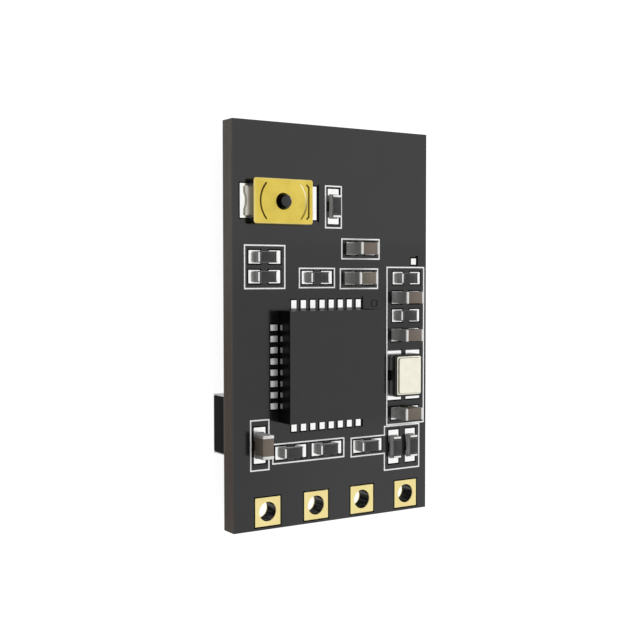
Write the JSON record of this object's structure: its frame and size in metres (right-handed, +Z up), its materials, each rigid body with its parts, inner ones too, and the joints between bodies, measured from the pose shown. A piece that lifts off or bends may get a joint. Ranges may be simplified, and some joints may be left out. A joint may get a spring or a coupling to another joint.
{
  "type": "rc receiver",
  "caption": "Small bare radio receiver board with a sprung push button, a controller chip, chip parts and a row of plated wire holes.",
  "frame": {"origin": "centre of the footprint, on the surface that the back parts rest on", "axes": "+Z up out of the front of the board, +Y along the board away from the wire holes, +X across it"},
  "size_m": [0.0106, 0.018, 0.0031],
  "materials": {
    "glass_laminate": "sawn edge, matt",
    "dark_mask": "satin",
    "white_print": "matt",
    "tinned_land": "bright tin",
    "tin_plate": "bright tin",
    "solder": "bright",
    "gold_plate": "satin gold plate",
    "spring_steel": "bright",
    "black_moulding": "satin",
    "chip_moulding": "fine satin",
    "inductor_moulding": "satin",
    "black_ceramic": "glossy",
    "lid_metal": "bright, creamy",
    "resistor_ceramic": "dark coat",
    "capacitor_ceramic": "fired brown",
    "socket_moulding": "natural moulding"
  },
  "bodies": {
    "board": {"antenna_socket_base": "socket_moulding", "antenna_socket_pin": "gold_plate", "antenna_socket_ring": "gold_plate", "back_capacitor_1": "capacitor_ceramic", "back_capacitor_2": "capacitor_ceramic", "back_capacitor_3": "capacitor_ceramic", "back_capacitor_4": "capacitor_ceramic", "back_lands": "tinned_land", "back_legend": "white_print", "back_mask": "dark_mask", "back_resistor_1": "resistor_ceramic", "back_resistor_2": "resistor_ceramic", "capacitor_1": "capacitor_ceramic", "capacitor_2": "capacitor_ceramic", "capacitor_3": "capacitor_ceramic", "capacitor_4": "capacitor_ceramic", "capacitor_5": "capacitor_ceramic", "capacitor_6": "capacitor_ceramic", "capacitor_terminals": "tin_plate", "controller_body": "chip_moulding", "controller_leads": "tin_plate", "crystal_base": "black_ceramic", "crystal_lid": "lid_metal", "crystal_pads": "gold_plate", "front_lands": "tinned_land", "front_legend": "white_print", "front_mask": "dark_mask", "inductor_body": "inductor_moulding", "inductor_terminals": "tin_plate", "laminate": "glass_laminate", "oscillator_base": "black_ceramic", "oscillator_lid": "lid_metal", "oscillator_pads": "gold_plate", "regulator_body": "chip_moulding", "regulator_leads": "tin_plate", "resistor_1": "resistor_ceramic", "resistor_10": "resistor_ceramic", "resistor_11": "resistor_ceramic", "resistor_2": "resistor_ceramic", "resistor_3": "resistor_ceramic", "resistor_4": "resistor_ceramic", "resistor_5": "resistor_ceramic", "resistor_6": "resistor_ceramic", "resistor_7": "resistor_ceramic", "resistor_8": "resistor_ceramic", "resistor_9": "resistor_ceramic", "resistor_terminals": "tin_plate", "solder_joints": "solder", "switch_base": "black_moulding", "switch_cover": "gold_plate", "switch_dome": "spring_steel", "switch_terminals": "tin_plate", "transceiver_body": "chip_moulding", "transceiver_leads": "tin_plate", "wire_pad_1": "gold_plate", "wire_pad_2": "gold_plate", "wire_pad_3": "gold_plate", "wire_pad_4": "gold_plate"},
    "plunger": {"switch_plunger": "black_moulding"}
  },
  "joints": [
    {"name": "button_press", "type": "slide", "parent": "board", "child": "plunger", "axis": [0, 0, -1], "range_m": [0, 0.00015], "stiffness_N_per_m": 200, "deforming": ["switch_dome"]}
  ]
}
